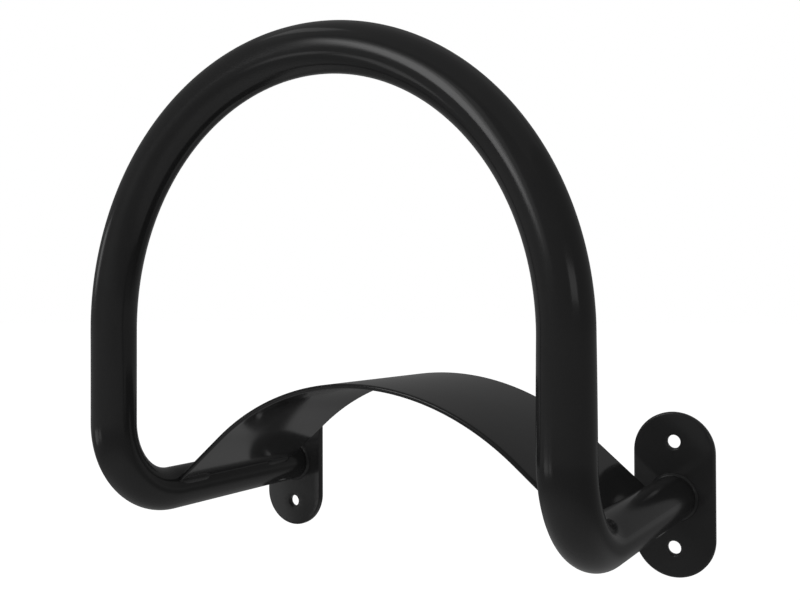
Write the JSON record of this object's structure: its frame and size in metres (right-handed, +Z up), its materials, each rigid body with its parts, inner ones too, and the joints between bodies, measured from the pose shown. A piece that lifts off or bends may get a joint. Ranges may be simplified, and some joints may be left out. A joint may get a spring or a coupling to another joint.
{
  "type": "bicycle wall rack",
  "caption": "Wall rack of one bent round tube: arms turn up into a tall arch, a curved sheet saddle bridges the arms, and each arm ends on a round-ended screw plate.",
  "frame": {"origin": "on the wall plane, midway between the centres of the two wall plates", "axes": "+Z up the wall, +X to the right when facing the wall, +Y into the wall, so the arms and the arch stand out along -Y"},
  "size_m": [0.351, 0.204, 0.3268],
  "materials": {
    "tube_coat": "gloss black powder coat on round steel tube",
    "sheet_coat": "gloss black powder coat on steel sheet",
    "plate_coat": "gloss black powder coat on steel plate",
    "weld_coat": "black powder coat over rippled weld beads"
  },
  "bodies": {
    "root": {"bent_tube": "tube_coat", "saddle_sheet": "sheet_coat", "wall_plate_left": "plate_coat", "wall_plate_right": "plate_coat", "plate_weld_left": "weld_coat", "plate_weld_right": "weld_coat", "saddle_weld_left_front": "weld_coat", "saddle_weld_left_back": "weld_coat", "saddle_weld_right_front": "weld_coat", "saddle_weld_right_back": "weld_coat"}
  },
  "joints": []
}
